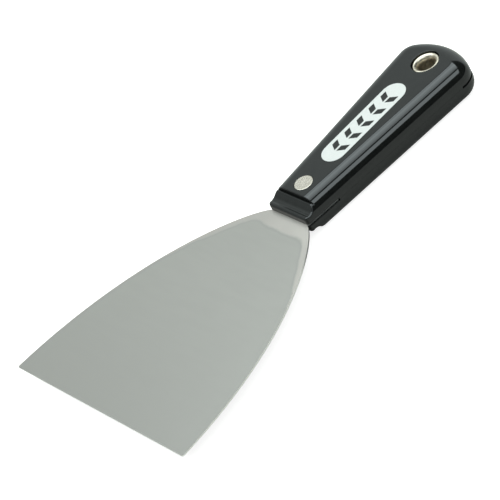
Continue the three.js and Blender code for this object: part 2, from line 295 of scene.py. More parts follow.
def blade_steel():
    material, tree, shader, place = finish("ground_blade_steel", Metallic=0.72, Anisotropic=0.8)
    tangent = node(tree, "ShaderNodeCombineXYZ", {"X": 1.0}).outputs[0]
    tree.links.new(tangent, shader.inputs["Tangent"])
    stored = node(tree, "ShaderNodeAttribute", attribute_name="grind_depth").outputs["Fac"]
    wobble = ramp(tree, noise(tree, place, (1, 1, 1), 150, 2.0), 0.25, 0.75, -0.6, 0.6)
    depth = math_node(tree, "ADD", stored, wobble)
    zone = ramp(tree, depth, -0.8, 0.6, 1, 0)
    scratches = noise(tree, place, (1, 0.03, 1), 5200, 4.0)
    bands = noise(tree, place, (1, 0.2, 1), 260, 2.0)
    clouds = noise(tree, place, (1, 1, 1), 38, 4.0)
    ground = mottled(tree, bands, 0.3, 0.7, *GROUND_TONES)
    rolled = mottled(tree, clouds, 0.35, 0.65, *ROLLED_TONES)
    spot = node(tree, "ShaderNodeSeparateXYZ", {0: place}).outputs
    along = spot["X"]
    rolled = mottled(tree, spot["Y"], 2 * MM, 11 * MM, rolled, ROLLED_FAR_SIDE)
    near_edge = ramp(tree, along, EDGE_X - 20 * MM, EDGE_X + 75 * MM, 1, 0)
    ground = mix_color(tree, near_edge, ground, GROUND_BY_THE_EDGE)
    # A thin band just inside the grind's end gets the painted shadow of the grind's step.
    fade_in = ramp(tree, depth, -0.1, 0.5, 0, 1)
    fade_out = ramp(tree, depth, 0.5, 1.7, 1, 0)
    grind_step_shade = math_node(tree, "MULTIPLY", fade_in, fade_out)
    share = math_node(tree, "MULTIPLY", grind_step_shade, GRIND_STEP_SHADE_SHARE)
    ground_with_step_shade = mix_color(tree, share, ground, GRIND_STEP_PAINTED_SHADE)
    face = mix_color(tree, zone, ground_with_step_shade, rolled)
    # The cut sides get a painted reflection that goes from bright to dark along the blade.
    side_painted_reflection = mottled(tree, along, EDGE_X + 84 * MM, EDGE_X + 94 * MM, *CUT_SIDE_PAINTED_REFLECTION)
    normal = node(tree, "ShaderNodeNewGeometry").outputs["True Normal"]
    level = math_node(tree, "ABSOLUTE", node(tree, "ShaderNodeSeparateXYZ", {0: normal}).outputs["Z"])
    wall = ramp(tree, level, 0.3, 0.6, 1, 0)
    tree.links.new(mix_color(tree, wall, face, side_painted_reflection), shader.inputs["Base Color"])
    ground_gloss = ramp(tree, scratches, 0.3, 0.7, 0.28, 0.32)
    rolled_gloss = ramp(tree, clouds, 0.3, 0.7, 0.30, 0.36)
    gloss = node(tree, "ShaderNodeMix", {"Factor": zone, 2: ground_gloss, 3: rolled_gloss})
    tree.links.new(gloss.outputs[0], shader.inputs["Roughness"])
    bump(tree, shader, scratches, 0.0003 * MM)
    return material


# %% [markdown]
# ### Moulded black plastic
#
# The scales are glossy injection-moulded plastic. A gloss-black surface shows its quality in its
# reflections, so the shader is nearly even: a slow, faint waviness like that of a moulded skin, and
# hair-fine handling scratches that only change the roughness.

# %% Black plastic
def black_plastic():
    material, tree, shader, place = finish("moulded_black_plastic", IOR=1.5)
    waves = noise(tree, place, (1, 1, 1), 420, 2.0)
    rubs = noise(tree, place, (0.15, 1, 1), 900, 3.0, turn=(0, 0, 0.35))
    tone = mottled(tree, waves, 0.3, 0.7, (0.0055, 0.006, 0.0055, 1), (0.0075, 0.008, 0.0073, 1))
    tree.links.new(tone, shader.inputs["Base Color"])
    tree.links.new(ramp(tree, rubs, 0.35, 0.7, 0.055, 0.085), shader.inputs["Roughness"])
    bump(tree, shader, waves, 0.0008 * MM)
    return material


# %% [markdown]
# ### Nickel plate
#
# The rivet heads are pressed flat and tumbled, which leaves a dull, warm, slightly mottled nickel.
# The eyelet is rolled from plated strip and stays warmer, with a softer gloss. One function makes both.

# %% Nickel plate
def nickel_plate(name, dark, light, gloss):
    material, tree, shader, place = finish(name, Metallic=1.0)
    mottle = noise(tree, place, (1, 1, 1), 700, 4.0)
    grain = noise(tree, place, (1, 1, 1), 5200, 2.0)
    tree.links.new(mottled(tree, mottle, 0.35, 0.65, dark, light), shader.inputs["Base Color"])
    tree.links.new(ramp(tree, mottle, 0.3, 0.7, *gloss), shader.inputs["Roughness"])
    bump(tree, shader, grain, 0.0004 * MM)
    return material


# %% [markdown]
# ### White printing ink
#
# Pad-printed ink lies as a thin matt film. It is slightly uneven, and a warm grey-white and not a
# pure white, because the black under it shows through a little.

# %% Printing ink
def printing_ink():
    material, tree, shader, place = finish("white_printing_ink")
    cover = noise(tree, place, (1, 1, 1), 1800, 3.0)
    tone = mottled(tree, cover, 0.3, 0.7, (0.50, 0.49, 0.465, 1), (0.54, 0.53, 0.50, 1))
    tree.links.new(tone, shader.inputs["Base Color"])
    tree.links.new(ramp(tree, cover, 0.3, 0.7, 0.42, 0.55), shader.inputs["Roughness"])
    bump(tree, shader, cover, 0.002 * MM)
    return material


# %% Make the finishes
STEEL = blade_steel()
PLASTIC = black_plastic()
RIVET_NICKEL = nickel_plate(
    "satin_rivet_nickel", dark=(0.54, 0.49, 0.423, 1), light=(0.565, 0.516, 0.448, 1), gloss=(0.24, 0.27))
EYELET_NICKEL = nickel_plate(
    "bright_eyelet_nickel", dark=(0.56, 0.50, 0.40, 1), light=(0.60, 0.54, 0.44, 1), gloss=(0.30, 0.36))
INK = printing_ink()
print("finishes:", [m.name for m in (STEEL, PLASTIC, RIVET_NICKEL, EYELET_NICKEL, INK)])


# %% [markdown]
# ## Two trees that read a curve row by row
#
# The blade and all the turned parts follow a rule, so Geometry Nodes make them. Both trees start the
# same way. A grid has one row for each point of a curve, and each row looks its own point up. What
# the tree then does with the row is its rule: the blade spreads it to both sides, and the turned
# part carries it round an axis.

# %% Rows that follow a curve
def curve_rows(tree, curve, rows, columns):
    """A flat grid, the curve point of each of its rows, and the place across it from -0.5 to 0.5."""
    size = {"Size X": 1.0, "Size Y": 1.0, "Vertices X": rows, "Vertices Y": columns}
    grid = node(tree, "GeometryNodeMeshGrid", size).outputs[0]
    spot = node(tree, "GeometryNodeInputPosition").outputs[0]
    place = node(tree, "ShaderNodeSeparateXYZ", {0: spot}).outputs
    along = math_node(tree, "MULTIPLY_ADD", place["X"], 1.0, 0.5)
    row = math_node(tree, "ROUND", math_node(tree, "MULTIPLY", along, math_node(tree, "SUBTRACT", rows, 1)))
    points = node(tree, "GeometryNodeCurveToPoints", {"Curve": curve}, mode="EVALUATED").outputs[0]
    found = {"Geometry": points, "Value": spot, "Index": row}
    sampled = node(tree, "GeometryNodeSampleIndex", found, data_type="FLOAT_VECTOR").outputs[0]
    return grid, node(tree, "ShaderNodeSeparateXYZ", {0: sampled}).outputs, place["Y"]


def finish_tree(tree, geometry, material):
    """Merge doubles, realize, set the material and end the tree."""
    merged = node(tree, "GeometryNodeMergeByDistance", {"Geometry": geometry, "Distance": 0.001 * MM})
    real = node(tree, "GeometryNodeRealizeInstances", {"Geometry": merged.outputs[0]})
    coated = node(tree, "GeometryNodeSetMaterial", {"Geometry": real.outputs[0], "Material": material})
    node(tree, "NodeGroupOutput", {0: coated.outputs[0]})


def outline_curve(name, points, height=0.0):
    """An open poly curve object through (x, y) points, for a tree to read."""
    data = bpy.data.curves.new(name, "CURVE")
    data.dimensions = "3D"
    spline = data.splines.new("POLY")
    spline.points.add(len(points) - 1)
    for point, (x, y) in zip(spline.points, points):
        point.co = (x, y, height, 1)
    holder = bpy.data.objects.new(name, data)
    bpy.context.scene.collection.objects.link(holder)
    return holder


# %% [markdown]
# ## The blade
#
# The blade is one sheet of spring steel: a wide trapezoid with one long curve down each side, a neck
# and a tang that runs through the whole handle. The tree spreads each point of the side curve to
# the same width on both sides. A second rule gives the thickness: full from the tang to the start
# of the grind, then a straight taper to the working edge. The lower sheet is extruded and its
# flipped copy closes it. The tree also stores grind_depth, the smaller of the distance to the
# grind's end and the distance to the blade's side, with the corner between the two rounded.
#
# Two neighbouring rows share their x where the wide start of the tang ends, and again at the tang's
# end. The strips between them have no area. The cut that bores the tang drops them, and leaves the
# edges beside them unpaired, as the count printed there shows. No gap shows, and both places are
# hidden in the handle.

# %% One side of the blade's outline
SLOT_END_X = EDGE_X + 120.5 * MM
SLOT_INSET = 0.7 * MM
NOSE_INSET = 0.8 * MM
TANG_INSET = 3.4 * MM
TANG_END_RADIUS = 9 * MM
EDGE_CORNER = 0.8 * MM


def tang_side(grow):
    """(x, half width) along the tang behind the wide part that shows in the slots."""
    narrow = TANG_INSET - grow
    end_x = blade_high.x + grow
    corner_x = end_x - TANG_END_RADIUS
    corner_y = handle_half_width(corner_x) - narrow - TANG_END_RADIUS
    return [
        (SLOT_END_X + grow, handle_half_width(SLOT_END_X) - narrow),
        *arc(corner_x, corner_y, TANG_END_RADIUS, math.pi / 2, 0, 16),
    ]


def blade_side():
    """(x, half width) from the working edge to the end of the tang."""
    neck_x = EDGE_X + BLADE_LENGTH
    join_x = neck_x + 1 * MM
    corner_y = BLADE_HALF_WIDTH - EDGE_CORNER
    side = bezier(
        (EDGE_X + EDGE_CORNER, BLADE_HALF_WIDTH),
        (EDGE_X + 70.9 * MM, 47.9 * MM),
        (neck_x, 14.0 * MM),
        (neck_x, NECK_HALF_WIDTH),
        90,
    )
    return [
        *arc(EDGE_X + EDGE_CORNER, corner_y, EDGE_CORNER, math.pi, math.pi / 2, 6),
        *side[1:],
        (join_x, handle_half_width(join_x) - NOSE_INSET),
        (SLOT_END_X, handle_half_width(SLOT_END_X) - SLOT_INSET),
        *tang_side(0),
        (blade_high.x, 0.2 * MM),
    ]


# %% The tree that makes the blade
def blade_tree():
    tree, given = geometry_tree("Blade by rule", {
        "Rows": "Int",
        "Columns": "Int",
        "Grind start": "Float",
        "Taper": "Float",
        "Thickness": "Float",
        "Grind end": "Float",
        "Side margin": "Float",
        "Side shift": "Float",
        "Material": "Material",
    })
    grid, spot, v = curve_rows(tree, given["Geometry"], given["Rows"], given["Columns"])
    across = math_node(tree, "MULTIPLY", spot["Y"], math_node(tree, "MULTIPLY", v, 2.0))
    spread = node(tree, "ShaderNodeCombineXYZ", {"X": spot["X"], "Y": across, "Z": spot["Z"]})
    sheet = node(tree, "GeometryNodeSetPosition", {"Geometry": grid, "Position": spread.outputs[0]})

    # How far each point is inside the ground area, in millimetres. It is worked out on the grid,
    # where each row still knows its own half width.
    ahead = math_node(tree, "SUBTRACT", given["Grind end"], spot["X"])
    margin = node(tree, "ShaderNodeMapRange", {
        "Value": spot["X"], "From Min": EDGE_X + 64 * MM, "From Max": given["Grind end"],
        "To Min": 0.0, "To Max": given["Side margin"]})
    shifted = math_node(tree, "ABSOLUTE", math_node(tree, "SUBTRACT", across, given["Side shift"]))
    beside = math_node(tree, "SUBTRACT", math_node(tree, "SUBTRACT", spot["Y"], shifted), margin.outputs[0])
    depth = math_node(tree, "DIVIDE", math_node(tree, "SMOOTH_MIN", ahead, beside, 3.5 * MM), MM)
    store = {"Geometry": grid, "Name": "grind_depth", "Value": depth}
    stored = node(tree, "GeometryNodeStoreNamedAttribute", store, data_type="FLOAT")
    tree.links.new(stored.outputs[0], sheet.inputs["Geometry"])

    # The sheet goes down by half its thickness, and is extruded up by the whole of it.
    here = node(tree, "ShaderNodeSeparateXYZ", {0: node(tree, "GeometryNodeInputPosition").outputs[0]})
    taper = node(tree, "ShaderNodeMapRange", {
        "Value": here.outputs["X"], "From Min": EDGE_X, "From Max": given["Grind start"],
        "To Min": given["Taper"], "To Max": 0.0})
    half = math_node(tree, "SUBTRACT", math_node(tree, "MULTIPLY", given["Thickness"], 0.5), taper.outputs[0])
    down = node(tree, "ShaderNodeCombineXYZ", {"Z": math_node(tree, "MULTIPLY", half, -1.0)}).outputs[0]
    rise = node(tree, "ShaderNodeCombineXYZ", {"Z": math_node(tree, "MULTIPLY", half, 2.0)}).outputs[0]
    lower = node(tree, "GeometryNodeSetPosition", {"Geometry": sheet.outputs[0], "Offset": down}).outputs[0]
    lift = {"Mesh": lower, "Offset": rise, "Offset Scale": 1.0, "Individual": False}
    upper = node(tree, "GeometryNodeExtrudeMesh", lift, mode="FACES").outputs["Mesh"]
    both = node(tree, "GeometryNodeJoinGeometry")
    tree.links.new(upper, both.inputs[0])
    tree.links.new(node(tree, "GeometryNodeFlipFaces", {"Mesh": lower}).outputs[0], both.inputs[0])
    finish_tree(tree, both.outputs[0], given["Material"])
    return tree


# %% Run it on the side curve
side_points = blade_side()
print("blade side:", len(side_points), "points")
blade_values = {
    "Rows": len(side_points),
    "Columns": 61,
    "Grind start": EDGE_X + GRIND_LENGTH,
    "Taper": (NECK_THICKNESS - EDGE_THICKNESS) / 2,
    "Thickness": NECK_THICKNESS,
    "Grind end": EDGE_X + 98.1 * MM,
    "Side margin": 3.7 * MM,
    "Side shift": -0.3 * MM,
    "Material": STEEL,
}
blade_curve = outline_curve("blade_side", side_points, MIDDLE)
ground_blade = outward(run_tree(blade_curve, blade_tree(), blade_values, "ground_blade"))

# %% [markdown]
# ## Turned parts
#
# The rivet, the eyelet and its washer are all round about an axis that stands on the tool's flat, so
# one tree makes them all from a closed profile of (radius, height) points. It also makes the round
# cutters that bore the scales and the tang.

# %% The tree that turns a profile
def turning_tree():
    tree, given = geometry_tree("Turned part", {
        "Rows": "Int",
        "Segments": "Int",
        "Station": "Float",
        "Material": "Material",
    })
    columns = math_node(tree, "ADD", given["Segments"], 1)
    grid, spot, v = curve_rows(tree, given["Geometry"], given["Rows"], columns)
    angle = math_node(tree, "MULTIPLY", v, 2 * math.pi)
    x = math_node(tree, "MULTIPLY_ADD", spot["X"], math_node(tree, "COSINE", angle), given["Station"])
    y = math_node(tree, "MULTIPLY", spot["X"], math_node(tree, "SINE", angle))
    place = node(tree, "ShaderNodeCombineXYZ", {"X": x, "Y": y, "Z": spot["Y"]})
    turned_grid = node(tree, "GeometryNodeSetPosition", {"Geometry": grid, "Position": place.outputs[0]})
    finish_tree(tree, turned_grid.outputs[0], given["Material"])
    return tree


TURNING = turning_tree()


def turned(name, profile, station, material, segments=96):
    """A round part from a (radius, z) profile that ends on its axis or is closed to its start."""
    on_axis = profile[0][0] == 0 and profile[-1][0] == 0
    points = profile if on_axis else [*profile, profile[0]]
    values = {"Rows": len(points), "Segments": segments, "Station": station, "Material": material}
    return outward(run_tree(outline_curve(name, points), TURNING, values, name))


def cutter(radius, low, high, station, rim=0.0):
    """A round cutter; with a rim it opens out into a small rounded mouth at its upper height."""
    mouth = arc(radius + rim, high - rim, rim, math.pi, math.pi / 2, 6) if rim else [(radius, high)]
    wide = mouth[-1][0]
    profile = [(0, low), (radius, low), *mouth, (wide, high + 2 * MM), (0, high + 2 * MM)]
    return turned("cutter", profile, station, PLASTIC, 72)


def combine(piece, tools, operation, name):
    """Cut closed tools out of a piece, or add them to it, and return the plain result."""
    for tool in tools:
        modifier = piece.modifiers.new("combine", "BOOLEAN")
        modifier.operation = operation
        modifier.solver = "EXACT"
        modifier.object = tool
    result = made_plain(piece, name)
    for tool in tools:
        bpy.data.objects.remove(tool)
    return result


def shade(piece, degrees, material):
    """One material, sharp edges over an angle, and normals that keep the flat faces flat."""
    mesh = piece.data
    mesh.materials.clear()
    mesh.materials.append(material)
    mesh.polygons.foreach_set("material_index", [0] * len(mesh.polygons))
    mesh.polygons.foreach_set("use_smooth", [True] * len(mesh.polygons))
    mesh.set_sharp_from_angle(angle=math.radians(degrees))
    modifier = piece.modifiers.new("flat faces", "WEIGHTED_NORMAL")
    modifier.keep_sharp = True
    return made_plain(piece, piece.name)


# %% [markdown]
# ### Bore the tang
#
# The rivet and the eyelet go through the tang, each with a little clearance.

# %% Holes in the tang
SLEEVE_RADIUS = 2.5 * MM
BARREL_RADIUS = 4.0 * MM
EYELET_WALL = 0.35 * MM
below, above = MIDDLE - 2 * MM, MIDDLE + 2 * MM
tang_holes = [
    cutter(SLEEVE_RADIUS + 0.2 * MM, below, above, RIVET_X),
    cutter(BARREL_RADIUS + EYELET_WALL / 2 + 0.4 * MM, below, above, EYELET_X),
]
ground_blade = shade(combine(ground_blade, tang_holes, "DIFFERENCE", "ground_blade"), 30, STEEL)
measure(ground_blade)

# %% [markdown]
# ## The two handle scales
#
# Each scale is a moulded half. Its outline flares towards the butt and its long edges are fully
# rounded. A lower block forms the nose: it has the grip's own rounded sides, cut off level at a crest
# that rises in an S from the lip to a ridge. The rounding is drawn as a row of outlines, each
# further in and higher than the last. Everything hidden or cut comes after: the
# pocket for the tang, whose wide start leaves the side slots open, the two bores with their seats,
# and the shallow groove that opens the parting line round the butt.

# %% Outline of the handle at an inset
def handle_plan(start_x, inset):
    """One side of the handle's outline, moved inwards: flaring side, round corner, curved end."""
    lean = math.atan(FLARE)
    end_centre = BUTT_X - BUTT_END_RADIUS
    # The corner's centre lies one corner radius inside the side line and inside the end arc.
    level = handle_half_width(0) - BUTT_CORNER_RADIUS / math.cos(lean)
    reach = BUTT_END_RADIUS - BUTT_CORNER_RADIUS
    a = 1 + FLARE**2
    b = 2 * (FLARE * level - end_centre)
    c = end_centre**2 + level**2 - reach**2
    corner_x = (-b + math.sqrt(b * b - 4 * a * c)) / (2 * a)
    corner_y = level + FLARE * corner_x
    join = math.atan2(corner_y, corner_x - end_centre)
    return [
        (start_x, handle_half_width(start_x) - inset / math.cos(lean)),
        *arc(corner_x, corner_y, BUTT_CORNER_RADIUS - inset, math.pi / 2 + lean, join, 26),
        *arc(end_centre, 0, BUTT_END_RADIUS - inset, join, 0, 18)[1:],
    ]


def both_sides(half):
    """A half outline from the front to the back, joined to its mirror image."""
    return [*half, *[(x, -y) for x, y in reversed(half) if y > 1e-9]]


# %% The grip
FRONT_EDGE_RADIUS = 0.35 * MM
ROUNDING_STEPS = 22


def rounding_rows(shrink):
    """(inset, height) up the section: the wall, the rounding, and one row on the flat beside it."""
    radius = LONG_EDGE_RADIUS
    rows = [(shrink, -1 * MM)]
    for i in range(ROUNDING_STEPS + 1):
        angle = math.pi / 2 * i / ROUNDING_STEPS
        inset = radius - (radius - shrink) * math.cos(angle)
        rows.append((inset, HALF_THICKNESS - radius + (radius - shrink) * math.sin(angle)))
    rows.append((radius + 0.4 * MM, HALF_THICKNESS - shrink))
    return [(inset, MIDDLE + z) for inset, z in rows]


def grip_mesh():
    front = SHOULDER_X + FRONT_EDGE_RADIUS
    plain_rows = rounding_rows(0)
    plans = [both_sides(handle_plan(front, inset)) for inset, _ in plain_rows]
    columns = [[(*plan[i], z) for plan, (_, z) in zip(plans, plain_rows)] for i in range(len(plans[0]))]
    # The front edge is rounded by a few narrower sections in front of the first column.
    lean = math.cos(math.atan(FLARE))
    nose_side = []
    for step in range(1, 6):
        angle = math.pi / 2 * step / 5
        x = front - FRONT_EDGE_RADIUS * math.sin(angle)
        rows = rounding_rows(FRONT_EDGE_RADIUS * (1 - math.cos(angle)))
        nose_side.append([(x, handle_half_width(x) - inset / lean, z) for inset, z in rows])
    far_side = [[(x, -y, z) for x, y, z in column] for column in nose_side]
    columns = [*reversed(nose_side), *columns, *far_side]
    count, height, extra = len(columns), len(plain_rows), len(nose_side)
    vertices = [point for column in columns for point in column]
    faces = []
    for i in range(count - 1):
        for j in range(height - 1):
            a = i * height + j
            faces.append((a, a + height, a + height + 1, a + 1))
    top = [i * height + height - 1 for i in range(count)]
    for k in range(extra):
        faces.append((top[k], top[k + 1], top[count - 2 - k], top[count - 1 - k]))
    faces.append(top[extra:count - extra])
    faces.append([i * height for i in range(count)])
    faces.append([*range(height), *reversed(range((count - 1) * height, count * height))])
    return outward(link_mesh("grip", vertices, faces))


# %% The nose block
LIP_HEIGHT = 3.5 * MM
LIP_RADIUS = 1.1 * MM
KNEE_X = NOSE_X + 2.2 * MM
KNEE_HEIGHT = 3.3 * MM
RIDGE_X = NOSE_X + 5.8 * MM
RIDGE_HEIGHT = 5.8 * MM
FILLET_SHARE = 0.2
NOSE_SIDE_INSET = 0.06 * MM
NOSE_CORNER_INSET = 1.5 * MM


def nose_crest():
    """(x, height) along the top of the nose block: front lip, gentle slope, steep rise, ridge."""
    lip_x = NOSE_X + LIP_RADIUS
    slope = bezier(
        (lip_x, LIP_HEIGHT),
        (lip_x + 0.4 * MM, LIP_HEIGHT),
        (KNEE_X - 0.5 * MM, KNEE_HEIGHT),
        (KNEE_X, KNEE_HEIGHT),
        12,
    )
    rise = bezier(
        (KNEE_X, KNEE_HEIGHT),
        (KNEE_X + 2.4 * MM, KNEE_HEIGHT),
        (RIDGE_X - 0.9 * MM, RIDGE_HEIGHT),
        (RIDGE_X, RIDGE_HEIGHT),
        14,
    )
    valley = bezier(
        (RIDGE_X, RIDGE_HEIGHT),
        (RIDGE_X + 0.3 * MM, RIDGE_HEIGHT),
        (SHOULDER_X - 0.2 * MM, RIDGE_HEIGHT - 0.2 * MM),
        (SHOULDER_X + 0.1 * MM, RIDGE_HEIGHT - 0.3 * MM),
        8,
    )
    lip = arc(lip_x, LIP_HEIGHT - LIP_RADIUS, LIP_RADIUS, math.pi, math.pi / 2, 8)
    return [*lip, *slope[1:], *rise[1:], *valley[1:], (SHOULDER_X + 0.6 * MM, RIDGE_HEIGHT - 0.3 * MM)]


def nose_section(x, crest):
    """One cross-section of the block: the grip's rounded sides cut off level, with small fillets."""
    into_block = min((x - NOSE_X) / NOSE_CORNER_INSET, 1)
    corner = NOSE_CORNER_INSET * (1 - math.sqrt(1 - (1 - into_block) ** 2))
    half = handle_half_width(x) - NOSE_SIDE_INSET - corner
    centre_y, centre_z = half - LONG_EDGE_RADIUS, HALF_THICKNESS - LONG_EDGE_RADIUS
    fillet = FILLET_SHARE * crest
    rise = crest - fillet - centre_z
    fillet_y = centre_y + math.sqrt((LONG_EDGE_RADIUS - fillet) ** 2 - rise**2)
    meeting = math.atan2(rise, fillet_y - centre_y)
    right = arc(centre_y, centre_z, LONG_EDGE_RADIUS, 0, meeting, 12)
    right += arc(fillet_y, crest - fillet, fillet, meeting, math.pi / 2, 8)[1:]
    left = [(-y, z) for y, z in reversed(right)]
    return [(x, y, MIDDLE + z) for y, z in [(-half, -1 * MM), (half, -1 * MM), *right, *left]]


def nose_mesh():
    sections = [nose_section(x, crest) for x, crest in nose_crest()]
    count = len(sections[0])
    faces = []
    for i in range(len(sections) - 1):
        for j in range(count):
            a, b = i * count + j, i * count + (j + 1) % count
            faces.append((a, b, b + count, a + count))
    last = (len(sections) - 1) * count
    faces += [list(range(count)), list(range(last, last + count))]
    return outward(link_mesh("nose", [p for section in sections for p in section], faces))


# %% Cutters for the pocket, the parting plane and the butt groove
def prism(name, outline, low, high):
    """A closed outline extruded from one height to another."""
    count = len(outline)
    vertices = [(x, y, z) for z in (low, high) for x, y in outline]
    walls = [(i, (i + 1) % count, (i + 1) % count + count, i + count) for i in range(count)]
    return outward(link_mesh(name, vertices, [*walls, range(count), range(count, 2 * count)]))


POCKET_TOP = MIDDLE + 0.62 * MM
POCKET_PLAY = 0.24 * MM
GROOVE_DEPTH = 0.9 * MM
GROOVE_TOP = MIDDLE + 0.48 * MM
GROOVE_START_X = EDGE_X + 186 * MM


def pocket_cutter():
    """The tang's outline with some play, and wide open over the part that shows in the slots."""
    half = [
        (NOSE_X - 5 * MM, 30 * MM),
        (SLOT_END_X + 1 * MM, 30 * MM),
        *tang_side(POCKET_PLAY),
        (blade_high.x + POCKET_PLAY, 0),
    ]
    return prism("pocket", both_sides(half), MIDDLE - 5 * MM, POCKET_TOP)


def parting_cutter():
    """Everything below the parting plane."""
    far = 150 * MM
    square = [(-far, -far), (far, -far), (far, far), (-far, far)]
    return prism("parting", square, MIDDLE - 6 * MM, MIDDLE + PARTING_GAP)


def groove_cutter():
    """A strip that follows the butt: the outline outside the handle, and back along the groove's floor."""
    floor = both_sides(handle_plan(GROOVE_START_X, GROOVE_DEPTH))
    outside = both_sides(handle_plan(GROOVE_START_X, -2 * MM))
    return prism("groove", [*outside, *reversed(floor)], MIDDLE - 7 * MM, GROOVE_TOP)


# %% Put a scale together
HEAD_RADIUS = 3.85 * MM
HEAD_SEAT = HALF_THICKNESS - 1.65 * MM
COUNTERBORE_RADIUS = 5.83 * MM
MOUTH_SEAT = HALF_THICKNESS - 2.4 * MM
FACE = MIDDLE + HALF_THICKNESS


def scale_mesh():
    whole = combine(grip_mesh(), [nose_mesh()], "UNION", "scale")
    tools = [
        pocket_cutter(),
        parting_cutter(),
        groove_cutter(),
        cutter(SLEEVE_RADIUS + 0.1 * MM, MIDDLE - 2 * MM, FACE, RIVET_X),
        cutter(HEAD_RADIUS + 0.1 * MM, MIDDLE + HEAD_SEAT, FACE, RIVET_X, 0.12 * MM),
        cutter(BARREL_RADIUS + EYELET_WALL / 2 + 0.2 * MM, MIDDLE - 2 * MM, FACE, EYELET_X),
        cutter(COUNTERBORE_RADIUS, MIDDLE + MOUTH_SEAT, FACE, EYELET_X, 0.22 * MM),
    ]
    return shade(combine(whole, tools, "DIFFERENCE", "scale_front"), 32, PLASTIC)


scale_front = scale_mesh()
# The cuts leave a few open edges here, which close once points within 0.0001 mm are merged.
measure(scale_front)

# %% [markdown]
# The back scale is the same moulding, turned half a turn about the tool's long axis. Its mesh is
# turned, not its object, so that every piece keeps its place in its own mesh.

# %% The back scale
to_middle = Matrix.Translation((0, 0, MIDDLE))
from_middle = Matrix.Translation((0, 0, -MIDDLE))
half_turn = to_middle @ Matrix.Rotation(math.pi, 4, "X") @ from_middle
back_mesh = scale_front.data.copy()
back_mesh.transform(half_turn)
back_mesh.name = "scale_back"
scale_back = bpy.data.objects.new("scale_back", back_mesh)
bpy.context.scene.collection.objects.link(scale_back)
print("back scale from", round(min(v.co.z for v in back_mesh.vertices) / MM, 2), "mm up")

# %% [markdown]
# ## The compression rivet
#
# A compression rivet has two halves: a headed post that is pressed into a headed sleeve. Both heads
# are flat discs with a rolled rim, and they lie just under the faces of the scales. The rim here
# stands a hair over a very shallow hollow, as pressing leaves it, so that it catches the light.

# %% Rivet
HEAD_FACE = HALF_THICKNESS - 0.05 * MM
HEAD_THICKNESS = 1.5 * MM
POST_RADIUS = 1.6 * MM


def head_rim(sign):
    """Points over a head's rounded rim, from the wall under it to the hollow face."""
    rim = 0.2 * MM
    over = arc(HEAD_RADIUS - rim, HEAD_FACE - rim, rim, 0, math.pi / 2, 7)
    hollow = [
        (HEAD_RADIUS - 0.5 * MM, HEAD_FACE - 0.006 * MM),
        (HEAD_RADIUS - 0.9 * MM, HEAD_FACE - 0.015 * MM),
    ]
    points = [(HEAD_RADIUS, HEAD_FACE - HEAD_THICKNESS), *over, *hollow, (0, HEAD_FACE - 0.018 * MM)]
    return [(r, MIDDLE + sign * z) for r, z in points]


shank_end = MIDDLE - HEAD_FACE + HEAD_THICKNESS + 0.3 * MM
under_head = MIDDLE + HEAD_FACE - HEAD_THICKNESS
post_profile = [
    (0, shank_end),
    (POST_RADIUS - 0.15 * MM, shank_end),
    (POST_RADIUS, shank_end + 0.15 * MM),
    (POST_RADIUS, under_head),
    *head_rim(1),
]
over_head = MIDDLE - HEAD_FACE + HEAD_THICKNESS
sleeve_mouth = under_head - 0.3 * MM
sleeve_profile = [
    (0, over_head + 0.1 * MM),
    (POST_RADIUS + 0.1 * MM, over_head + 0.1 * MM),
    (POST_RADIUS + 0.1 * MM, sleeve_mouth),
    (SLEEVE_RADIUS, sleeve_mouth),
    (SLEEVE_RADIUS, over_head),
    *head_rim(-1),
]
rivet_front = shade(turned("rivet_front", post_profile, RIVET_X, RIVET_NICKEL), 35, RIVET_NICKEL)
rivet_back = shade(turned("rivet_back", sleeve_profile, RIVET_X, RIVET_NICKEL), 35, RIVET_NICKEL)

# %% [markdown]
# ## The eyelet and its washer
#
# The eyelet is a tube of thin plated strip. Under its front mouth it draws in to a waist, then flares
# into a round mouth that is rolled back under itself in the counterbore. On the back it is rolled
# over a flat washer. The profile follows one middle line, half a wall away from it on each side.

# %% Eyelet
WAIST_RADIUS = 3.55 * MM


def strip_profile(line, wall):
    """A closed profile half a wall to each side of a middle line, with square ends."""
    sides = []
    for side in (1, -1):
        points = []
        for i, (r, z) in enumerate(line):
            before, after = line[max(i - 1, 0)], line[min(i + 1, len(line) - 1)]
            length = math.hypot(after[0] - before[0], after[1] - before[1])
            nr, nz = (after[1] - before[1]) / length, (before[0] - after[0]) / length
            points.append((r + side * nr * wall / 2, z + side * nz * wall / 2))
        sides.append(points)
    return [*sides[0], *reversed(sides[1])]


def eyelet_line():
    """The strip's middle line, from the rolled rear end up the barrel and over the mouth."""
    mouth_rise, roll, rear_roll = 2.9 * MM, 0.45 * MM, 0.75 * MM
    mouth_base = MIDDLE + MOUTH_SEAT - 1.3 * MM
    crown = mouth_base + mouth_rise
    mouth_centre = COUNTERBORE_RADIUS - 0.8 * MM
    mouth_width = mouth_centre - WAIST_RADIUS
    rear = MIDDLE - MOUTH_SEAT - 0.45 * MM
    flare = [
        (mouth_centre + mouth_width * math.cos(a), mouth_base + mouth_rise * math.sin(a))
        for a in (math.pi - math.pi / 2 * i / 16 for i in range(17))
    ]
    return [
        (BARREL_RADIUS + rear_roll + 0.4 * MM, rear - rear_roll),
        *arc(BARREL_RADIUS + rear_roll, rear, rear_roll, -math.pi / 2, -math.pi, 12),
        (BARREL_RADIUS, MIDDLE),
        (BARREL_RADIUS - 0.1 * MM, MIDDLE + 1.2 * MM),
        *flare,
        *arc(mouth_centre, crown - roll, roll, math.pi / 2, 0, 8)[1:],
        (mouth_centre + roll, MIDDLE + MOUTH_SEAT + 0.25 * MM),
    ]


eyelet_profile = strip_profile(eyelet_line(), EYELET_WALL)
eyelet = shade(turned("eyelet", eyelet_profile, EYELET_X, EYELET_NICKEL), 50, EYELET_NICKEL)
waist = 2 * (WAIST_RADIUS - EYELET_WALL / 2)
print(f"clear way through the eyelet's waist: about {waist / MM:.2f} mm")

